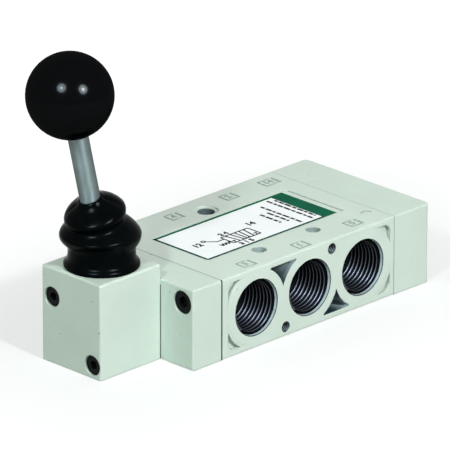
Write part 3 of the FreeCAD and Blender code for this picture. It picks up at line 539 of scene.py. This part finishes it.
def body_shell():
    """The valve body without the walls of its threaded holes, which threads stand for, and with painted shade in its
    holes and cores.
    """
    source = nodes["valve_body"].data
    points = [vertex.co / MM for vertex in source.vertices]
    normals = [tuple(normal.vector) for normal in source.corner_normals]
    faces, marks, kept = [], [], []
    for polygon in source.polygons:
        corners = [points[index] for index in polygon.vertices]
        if is_hole_wall(corners):
            continue
        faces.append(tuple(polygon.vertices))
        tests = (is_bare, is_core, is_front_hole, is_back_hole)
        marks.append(next((index for index, test in enumerate(tests, start=1) if test(corners)), 0))
        kept.extend(normals[loop] for loop in polygon.loop_indices)
    mesh = mesh_from("body_shell", points, faces, marks=marks)
    mesh.normals_split_custom_set(kept)
    slots = ["painted_body", "port_metal", "core_metal", "hole_paint", "deep_hole"]
    piece = new_piece("body_shell", mesh, slots)
    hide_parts("valve_body")
    # Port threads: a dark ring at the rim's outer edge, the bare chamfer, then flanks in painted shade and crests as
    # a painted highlight.
    slots = ["seam_dark", "rim_metal", "port_metal", "crest_metal"]
    sizes = (PORT_BORE, PORT_ROOT, PORT_RIM, PORT_PITCH, PORT_DEPTH)
    for index, (x, side) in enumerate(PORTS, start=1):
        thread(f"port_thread_{index}", (x, SPOOL_HEIGHT), side, *sizes, slots)
    # Side holes: flanks in painted shade, crests in the pale rim metal as a painted highlight.
    slots = ["painted_body", "small_thread", "rim_metal"]
    sizes = (SIDE_BORE, SIDE_ROOT, SIDE_RIM, SIDE_PITCH, SIDE_DEPTH)
    for index, spot in enumerate(SIDE_HOLES, start=1):
        thread(f"side_thread_{index}", spot, -1, *sizes, slots)


def corner_outline(around, drop, square):
    """Outline of a corner pocket, as (across, up) from its port's axis: an arc, then two sides and a corner."""
    across, up = 14.5 - drop, 13.3 - drop
    low, high = math.acos(min(across / around, 1)), math.asin(up / around)
    arc = [high + (low - high) * step / 12 for step in range(13)]
    outline = [(around * math.cos(angle), around * math.sin(angle)) for angle in arc]
    rounding = 0.05 if square else 3.0
    for step in range(9):
        angle = math.pi / 2 * step / 8
        outline.append((across - rounding * (1 - math.cos(angle)), up - rounding * (1 - math.sin(angle))))
    return outline


def corner_pockets():
    """Paint lands that round off the shallow corner pockets of the front face."""
    outer, inner = corner_outline(14.42, 0.0, True), corner_outline(15.5, 0.15, False)
    count = len(outer)
    left, right = PORTS[0][0], PORTS[2][0]
    places = [(left, -1, 1), (left, -1, -1), (right, 1, 1), (right, 1, -1)]
    for index, (x, across, up) in enumerate(places, start=1):
        points = []
        for outline, deep in ((outer, -0.004), (inner, -0.004), (inner, 1.3)):
            points += [(x + across * u, -FRONT + deep, SPOOL_HEIGHT + up * v) for u, v in outline]
        faces = strip_faces(3, count)
        if across * up > 0:
            faces = [tuple(reversed(face)) for face in faces]
        mesh = mesh_from(f"corner_land_{index}", points, faces, smooth=False)
        new_piece(f"corner_land_{index}", mesh, ["painted_body"])


# Label print, raised marks and seams

def bar(points, faces, start, end, width, low, high):
    """Add a straight stroke between two points of a plane at right angles to Z."""
    start, end = Vector(start), Vector(end)
    along = (end - start).normalized()
    across = Vector((-along.y, along.x)) * (width / 2)
    first = len(points)
    for height in (low, high):
        for corner in (start - across, end - across, end + across, start + across):
            points.append((corner.x, corner.y, height))
    for face in ((0, 3, 2, 1), (4, 5, 6, 7), (0, 1, 5, 4), (1, 2, 6, 5), (2, 3, 7, 6), (3, 0, 4, 7)):
        faces.append(tuple(first + corner for corner in face))


def strokes(name, lines, width, low, high, slots, slot):
    """One piece of straight strokes along the lines, from one height to another."""
    points, faces = [], []
    for line in lines:
        for start, end in zip(line, line[1:]):
            bar(points, faces, start, end, width, low, high)
    return new_piece(name, mesh_from(name, points, faces, smooth=False), slots)


def digits(name, words, spot, size, height, depth, slots, weight):
    """Flat numbers standing on a plane at the given height, centred on the spot."""
    curve = bpy.data.curves.new(name, "FONT")
    curve.body = words
    curve.size = size * MM
    curve.align_x, curve.align_y = "CENTER", "CENTER"
    curve.extrude = depth * MM / 2
    curve.offset = weight * MM
    curve.resolution_u = 6
    item = bpy.data.objects.new(name, curve)
    bpy.context.scene.collection.objects.link(item)
    item.location = Vector((*spot, height + depth / 2)) * MM
    bpy.context.view_layer.update()
    mesh = bpy.data.meshes.new_from_object(item)
    mesh.transform(item.matrix_world)
    mesh.name = name
    bpy.data.objects.remove(item)
    return new_piece(name, mesh, slots)


LABEL_LOW = (-34.4, -13.9)
LABEL_HIGH = (32.4, 14.7)
LABEL_FACE = 30.95
INK = 0.02
FRONT_BORDER = 1.1
BACK_BORDER = 1.3
BAND = 6.6
LABEL_ROWS = [(24.9, 10.8, -10.4), (22.3, 12.2, -11.8), (16.6, 9.7, -11.8), (14.1, 3.9, -7.2), (10.9, 4.4, -6.4)]


def ring_line(centre, radius):
    """Corners of a small circle, closed."""
    turns = [2 * math.pi * step / 16 for step in range(17)]
    return [(centre[0] + radius * math.cos(t), centre[1] + radius * math.sin(t)) for t in turns]


def arrow(start, end, size=0.75):
    """A line with a two-stroke head at its end."""
    start, end = Vector(start), Vector(end)
    back = (start - end).normalized() * size
    lines = [[start, end]]
    for turn in (-0.45, 0.45):
        lines.append([end, end + Matrix.Rotation(turn, 2) @ back])
    return lines


def flow_box(left, low, size, mirrored):
    """One position of the valve's sign: two flow arrows and a closed port."""
    right, high = left + size, low + size
    flip = (lambda x: left + right - x) if mirrored else (lambda x: x)
    stops = [left + size * share for share in (0.2, 0.5, 0.8)]
    upper = [left + size * share for share in (0.33, 0.67)]
    lines = [[(left, low), (right, low), (right, high), (left, high), (left, low)]]
    lines += arrow((flip(stops[1]), low), (flip(upper[0]), high))
    lines += arrow((flip(upper[1]), high), (flip(stops[2]), low))
    lines.append([(flip(stops[0]), low), (flip(stops[0]), low + size * 0.24)])
    cap = size * 0.12
    lines.append([(flip(stops[0]) - cap, low + size * 0.24), (flip(stops[0]) + cap, low + size * 0.24)])
    return lines


def valve_sign():
    """The general sign of a 5/2 valve worked by a lever against a spring."""
    left, low, size = -15.6, -8.5, 6.9
    lines = flow_box(left, low, size, False) + flow_box(left + size, low, size, True)
    lines.append([(left, -3.4), (-19.2, -3.4), (-22.4, -0.5)])
    lines.append(ring_line((-22.9, 0.1), 0.75))
    steps = range(8)
    lines.append([(left - 0.75 * step, -7.0 + (0.9 if step % 2 else -0.9)) for step in steps])
    ink = (LABEL_FACE, LABEL_FACE + INK)
    strokes("sign_lines", lines, 0.66, *ink, ["black_ink"], "label_face")
    for name, words, spot, size in (
        ("sign_12", "12", (-27.0, -1.3), 4.0),
        ("sign_14", "14", (2.0, 0.6), 3.8),
        ("sign_24", "2 4", (-12.2, 0.4), 3.2),
        ("sign_315", "3 1 5", (-11.4, -10.9), 3.2),
    ):
        digits(name, words, spot, size, LABEL_FACE, INK, ["black_ink"], weight=0.2)


def label_print():
    """Green border and header band round the sign, and rows of dashes in place of text."""
    low, high = Vector(LABEL_LOW), Vector(LABEL_HIGH)
    ink = (LABEL_FACE, LABEL_FACE + INK)
    inset = FRONT_BORDER / 2
    dark = [[(low.x + inset, high.y), (low.x + inset, low.y + inset), (high.x, low.y + inset)]]
    strokes("label_border_front", dark, FRONT_BORDER, *ink, ["dark_green_ink"], "label_face")
    inset = BACK_BORDER / 2
    green = [[(low.x, high.y - inset), (high.x, high.y - inset)]]
    strokes("label_border_back", green, BACK_BORDER, *ink, ["green_ink"], "label_face")
    middle = high.x - BAND / 2
    band = [[(middle, low.y), (middle, high.y)]]
    strokes("label_band", band, BAND, LABEL_FACE, LABEL_FACE + 1.2 * INK, ["green_ink"], "label_face")
    dashes = []
    for row, (x, start, end) in enumerate(LABEL_ROWS):
        step = 0
        while start > end:
            length = 1.6 + (step * 7 + row * 3) % 5 * 0.45
            dashes.append([(x, start), (x, max(start - length, end))])
            start -= length + 0.55
            step += 1
    strokes("label_rows", dashes, 1.1, *ink, ["black_ink"], "label_face")
    valve_sign()


MARKS = [
    ("3", (-27.5, -26.2)), ("1", (-0.4, -27.0)), ("5", (28.6, -25.4)),
    ("4", (-13.2, 25.1)), ("2", (15.2, 25.1)), ("14", (36.2, 25.1)),
]
MARK_REACH = 2.5
MARK_SINK = 0.05


def raised_marks():
    """Cast port numbers in thin frames along the top's edges, each with a short bar beside it, in darker paint as
    painted shade along the relief.
    """
    level = (TOP - MARK_SINK, TOP + 0.22)
    slots = ["mark_paint"]
    for word, (x, y) in MARKS:
        half = 1.9 + 0.65 * len(word)
        low, high = y - MARK_REACH, y + MARK_REACH
        box = [[(x + half, low), (x - half, low), (x - half, high), (x + half - 0.8, high)]]
        strokes(f"mark_frame_{word}", box, 0.34, *level, slots, "painted_body")
        side = [[(x + half + 0.5, high - 0.2), (x + half + 0.5, low - 0.3)]]
        strokes(f"mark_bar_{word}", side, 0.7, *level, slots, "painted_body")
        digits(f"mark_{word}", word, (x, y), 4.0, TOP - MARK_SINK, 0.24, slots, weight=0.07)
    curve = [(39.3 + 2.6 * math.cos(t), -22.9 + 2.6 * math.sin(t)) for t in (0.2, 0.7, 1.2, 1.7, 2.2)]
    strokes("mark_arc", [curve], 0.4, *level, slots, "painted_body")


def sheet(name, corners, key):
    """A thin four-cornered patch."""
    return new_piece(name, mesh_from(name, corners, [(0, 1, 2, 3)], smooth=False), [key])


def seam(name, x, front_width, top_width, keys):
    """Thin gasket edge between two blocks: a strip on the front and back, another over the top."""
    radius, grow = 0.6, 0.012
    arcs = {}
    for side, level in ((-1, FRONT), (1, BACK)):
        arcs[side] = [(side * (level + grow), 0.05)]
        for step in range(7):
            angle = math.pi / 2 * step / 6
            across = side * (level - radius + (radius + grow) * math.cos(angle))
            arcs[side].append((across, TOP - radius + (radius + grow) * math.sin(angle)))
    top = [arcs[-1][-1], arcs[1][-1]]
    strips = [(arcs[-1], front_width, 0), (top, top_width, 1), (arcs[1], front_width, 0)]
    points, faces, marks = [], [], []
    for outline, width, mark in strips:
        first, count = len(points), len(outline)
        for offset in (-width / 2, width / 2):
            points += [(x + offset, y, z) for y, z in outline]
        for index in range(first, first + count - 1):
            faces.append((index, index + 1, count + index + 1, count + index))
            marks.append(mark)
    new_piece(name, mesh_from(name, points, faces, smooth=False, marks=marks), keys)


def joints():
    """Seams between the blocks, a strip of painted shade along the far wall of the label's recess and the line beside
    the lever block.
    """
    seam("adapter_seam", -HALF_LENGTH, 0.6, 0.22, ["seam_dark", "gasket"])
    seam("cap_seam", HALF_LENGTH, 0.2, 0.05, ["gasket", "mark_paint"])
    low, high = (ADAPTER_END - 0.012, -BLOCK_FRONT - 0.32), (ADAPTER_END - 0.012, -BLOCK_FRONT + 0.02)
    corners = [(*low, 0.3), (*high, 0.3), (*high, 29.0), (*low, 29.0)]
    sheet("block_seam", corners, "seam_dark")
    # Painted shade: a grey strip on the recess floor along its far wall.
    level = TOP - 0.29
    corners = [(35.42, -14.0, level), (35.66, -14.0, level), (35.66, 14.8, level), (35.42, 14.8, level)]
    sheet("recess_shade", corners, "gasket")


CHIPS = [
    ((-44.9, 4.6, 31.0), (0, 0, 1), 0.34),
    ((-59.3, -19.6, 27.6), (-1, 0, 0), 0.22),
    ((-59.3, -24.4, 29.4), (-1, 0, 0), 0.26),
    ((-89.2, -13.9, 18.3), (-1, 0, 0), 0.3),
    ((-89.2, -10.4, 29.6), (-1, 0, 0), 0.22),
    ((-89.2, 6.2, 12.4), (-1, 0, 0), 0.24),
    ((-36.8, -31.3, 25.4), (0, -1, 0), 0.2),
    ((52.4, 20.1, 31.0), (0, 0, 1), 0.22),
]


def chips():
    """Small nicks in the paint, down to the primer."""
    for index, (spot, facing, size) in enumerate(CHIPS, start=1):
        turn = Vector(facing).to_track_quat("Z", "Y")
        points = []
        for step in range(9):
            angle = 2 * math.pi * step / 9
            reach = size * (1 + 0.25 * math.sin(3 * angle + index) + 0.15 * math.cos(5 * angle))
            points.append(Vector(spot) + turn @ Vector((reach * math.cos(angle), reach * math.sin(angle), 0.014)))
        mesh = mesh_from(f"chip_{index}", points, [tuple(range(9))], smooth=False)
        new_piece(f"chip_{index}", mesh, ["gasket"])


# Return spring

def spring():
    """The return spring, as a copy of its solid with its own mesh."""
    mesh = nodes["return_spring"].data.copy()
    mesh.materials.clear()
    piece = new_piece("spring_coil", mesh, ["bright_steel"])
    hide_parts("return_spring")
    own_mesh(piece)


# Rubber boot

def ease(share):
    """Smooth step from 0 to 1."""
    share = min(max(share, 0), 1)
    return share * share * (3 - 2 * share)


def between(stations, rise):
    """Value at a height, eased between (height, value) stations."""
    for (low, first), (high, last) in zip(stations, stations[1:]):
        if rise <= high:
            return first + (last - first) * ease((rise - low) / (high - low))
    return stations[-1][1]


BOOT_FOOT = [
    (0.0, 13.4), (0.1, 13.8), (0.6, 13.9), (1.2, 13.8), (1.7, 13.5), (2.1, 13.05), (2.6, 12.7), (3.3, 12.48),
    (4.3, 12.32), (5.6, 12.28), (6.6, 12.28), (7.3, 12.4),
]
ROUND_FOLDS = [
    (7.8, 12.9), (8.5, 13.7), (9.5, 14.45), (10.7, 14.85), (11.9, 14.9), (13.1, 14.6), (14.3, 13.9), (15.5, 12.9),
    (16.5, 11.7), (17.2, 10.75), (17.6, 10.3), (17.9, 10.4), (18.4, 10.85), (19.1, 11.25), (20.2, 11.4),
    (21.2, 11.2), (22.2, 10.6), (23.2, 9.75), (24.2, 8.5), (25.0, 7.2), (25.7, 6.0), (26.3, 5.1), (26.8, 4.6),
    (27.2, 4.2),
]
SHARP_FOLDS = [
    (8.3, 12.6), (9.5, 12.9), (10.7, 13.4), (11.7, 14.1), (12.5, 14.7), (13.0, 14.97), (13.4, 14.85), (13.8, 14.5),
    (15.0, 13.0), (16.2, 11.5), (17.0, 10.5), (17.6, 10.3), (18.8, 10.6), (20.0, 11.0), (20.9, 11.35),
    (21.5, 11.5), (21.9, 11.3), (22.5, 10.6), (23.2, 9.5), (24.0, 8.1), (24.9, 6.6), (25.9, 5.4), (26.9, 4.7),
    (27.8, 4.25),
]
SHARP_SIDE = math.radians(225)
PINCHES = [(math.radians(-52), 0.16, 0.5), (math.radians(138), 0.14, 0.45)]
BOOT_WAIST = 7.3
BOOT_NECK = 25.4
BOOT_TOP = 27.2
BOOT_WALL = 1.3
ROD_HOLE = 4.1


def boot_station(index, angle):
    """Rise and radius of a station: the folds are pinched sharp on the side the rod leans over."""
    rise, radius = ROUND_FOLDS[index]
    sharp_rise, sharp_radius = SHARP_FOLDS[index]
    share = ((1 + math.cos(angle - SHARP_SIDE)) / 2) ** 2.5
    return rise + (sharp_rise - rise) * share, radius + (sharp_radius - radius) * share


def boot_point(rise, radius, angle):
    """Point of the boot's surface: rings shift and lean towards the rod with their height."""
    above = BLOCK_TOP + rise - PIVOT_HEIGHT
    on_rod = (BLOCK_TOP + BOOT_NECK - PIVOT_HEIGHT) * math.tan(REST_TILT)
    shift = between([(BOOT_WAIST, 0), (11.9, 0.64), (17.6, 3.0), (20.3, 3.3), (BOOT_NECK, on_rod)], rise)
    if rise > BOOT_NECK:
        shift = above * math.tan(REST_TILT)
    lean = math.radians(between([(BOOT_WAIST, 0), (11.9, 2.2), (17.6, 10.5), (20.3, 16.8), (BOOT_TOP, 24)], rise))
    for centre, width, depth in PINCHES:
        turn = math.atan2(math.sin(angle - centre), math.cos(angle - centre))
        radius -= depth * math.exp(-((turn / width) ** 2)) * ease((rise - 21.5) / 3) * ease((BOOT_TOP - rise) / 1.2)
    across, side = radius * math.cos(angle), radius * math.sin(angle)
    return (
        LEVER_X + across * math.cos(lean) - shift,
        side,
        BLOCK_TOP + rise + across * math.sin(lean),
    )


def boot():
    """The rubber boot as a thin shell, bent at rest between the block and the lever."""
    around = 144
    angles = [2 * math.pi * step / around for step in range(around)]
    outside = [[(rise, radius, angle) for angle in angles] for rise, radius in BOOT_FOOT]
    for index in range(len(ROUND_FOLDS)):
        outside.append([(*boot_station(index, angle), angle) for angle in angles])
    inside = [
        [(rise, max(radius - BOOT_WALL, ROD_HOLE), angle) for rise, radius, angle in row] for row in reversed(outside)
    ]
    points = [boot_point(*spot) for row in outside + inside for spot in row]
    faces = strip_faces(2 * len(outside), around)
    rows = 2 * len(outside) - 1
    for column in range(around):
        after = (column + 1) % around
        faces.append((rows * around + column, rows * around + after, after, column))
    mesh = mesh_from("boot_rubber", points, faces)
    bm = bmesh.new()
    bm.from_mesh(mesh)
    bmesh.ops.recalc_face_normals(bm, faces=bm.faces)
    bm.to_mesh(mesh)
    bm.free()
    piece = new_piece("boot_bellows", mesh, ["boot_rubber"], body=None)
    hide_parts("boot")
    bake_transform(piece)


# Camera, light and floor

VIEW_AZIMUTH = math.radians(-45.0986)
VIEW_ELEVATION = math.radians(21.5711)
VIEW_ROLL = math.radians(0.1069)
VIEW_PLACE = Vector((-1784.76, -1766.89, 1024.04)) * MM
VIEW_LENS = 591.8
LAMP_AIM = Vector((-0.02, 0, 0.03))
KEY, SIDE = (-0.1, -0.825, 0.556), (-0.741, -0.243, 0.626)
SKY_LIGHT = 0.43
FLOOR_REACH = 3000
# Box of the object's footprint, round which the floor shows a painted shadow.
SHADOW_FOOTPRINT = (-0.0127, 0.0007, 0), (0.0765, 0.032, 1)


def camera():
    """Long lens that sees the object as the photograph does."""
    data = bpy.data.cameras.new("camera")
    data.sensor_width = 36
    data.lens = VIEW_LENS
    data.clip_end = 20
    item = bpy.data.objects.new("camera", data)
    bpy.context.scene.collection.objects.link(item)
    az, el = VIEW_AZIMUTH, VIEW_ELEVATION
    back = Vector((math.sin(az) * math.cos(el), -math.cos(az) * math.cos(el), math.sin(el)))
    right = Vector((math.cos(az), math.sin(az), 0))
    up = back.cross(right)
    turned_right = right * math.cos(VIEW_ROLL) + up * math.sin(VIEW_ROLL)
    turned_up = up * math.cos(VIEW_ROLL) - right * math.sin(VIEW_ROLL)
    matrix = Matrix((turned_right, turned_up, back)).transposed().to_4x4()
    matrix.translation = VIEW_PLACE
    item.matrix_world = matrix
    bpy.context.scene.camera = item


def lamp(name, direction, distance, size, power, tone=(1, 1, 1), sheen=False):
    """Round soft lamp that faces the object; a sheen lamp shows in glossy surfaces alone."""
    data = bpy.data.lights.new(name, "AREA")
    data.shape = "DISK"
    data.size = size
    data.energy = power
    data.color = tone
    item = bpy.data.objects.new(name, data)
    bpy.context.scene.collection.objects.link(item)
    item.location = LAMP_AIM + Vector(direction).normalized() * distance
    item.rotation_euler = (item.location - LAMP_AIM).to_track_quat("Z", "Y").to_euler()
    item.visible_diffuse = not sheen


def seen_directly(tree):
    """1 for camera, glossy and transmission rays, and 0 for the light that falls on the object."""
    path = tree.nodes.new("ShaderNodeLightPath")
    total = path.outputs["Is Camera Ray"]
    for ray in ("Is Glossy Ray", "Is Transmission Ray"):
        adder = tree.nodes.new("ShaderNodeMath")
        adder.operation = "MAXIMUM"
        tree.links.new(total, adder.inputs[0])
        tree.links.new(path.outputs[ray], adder.inputs[1])
        total = adder.outputs["Value"]
    return total


def backdrop():
    """White surround, which lights the object less than it shows."""
    world = bpy.data.worlds.new("studio")
    bpy.context.scene.world = world
    world.use_nodes = True
    tree = world.node_tree
    glow = tree.nodes["Background"]
    glow.inputs["Color"].default_value = (1, 1, 1, 1)
    level = tree.nodes.new("ShaderNodeMapRange")
    level.inputs["To Min"].default_value = SKY_LIGHT
    level.inputs["To Max"].default_value = 1.0
    tree.links.new(seen_directly(tree), level.inputs["Value"])
    tree.links.new(level.outputs["Result"], glow.inputs["Strength"])


def floor():
    """Floor that lights the object softly, shows its shadow and reads as white; its glow drops near the object's
    footprint, a painted shadow.
    """
    g = Graph("floor", Roughness=0.9, Specular_IOR_Level=0.0)
    g.shader.inputs["Emission Color"].default_value = (1, 1, 1, 1)
    cloud = g.ramp(g.noise(3, 2), 0.3, 0.7)
    colour = g.mix(cloud, linear(163, 165, 165), linear(166, 168, 168))
    # Painted shadow: the floor's glow drops within 0.16 m of the object's footprint.
    level = g.ramp(g.off_box(*SHADOW_FOOTPRINT), 0.0, 0.16, 0.57, 0.78)
    seen = g.math("MULTIPLY", seen_directly(g.tree), level)
    g.finish(Base_Color=colour, Emission_Strength=seen)
    points = [(x * FLOOR_REACH, y * FLOOR_REACH, 0) for x, y in ((-1, -1), (1, -1), (1, 1), (-1, 1))]
    mesh = mesh_from("floor", points, [(0, 1, 2, 3)], smooth=False)
    mesh.materials.append(g.material)
    item = bpy.data.objects.new("floor", mesh)
    item.location = (0, 0, -0.0002)
    bpy.context.scene.collection.objects.link(item)


def lights():
    """Two small lamps, each with a wide sheen lamp just before it."""
    lamp("key", KEY, 1.3, 0.16, 11.3)
    lamp("key_sheen", KEY, 1.28, 0.48, 34.0, (0.76, 0.9, 1), sheen=True)
    lamp("side", SIDE, 1.3, 0.11, 5.5, (0.86, 1, 0.88))
    lamp("side_sheen", SIDE, 1.28, 0.46, 28.0, (0.7, 0.88, 1), sheen=True)


dress_nodes()
body_shell()
corner_pockets()
label_print()
raised_marks()
joints()
chips()
spring()
boot()
camera()
backdrop()
floor()
lights()

view = bpy.context.scene.view_settings
view.view_transform = "Standard"
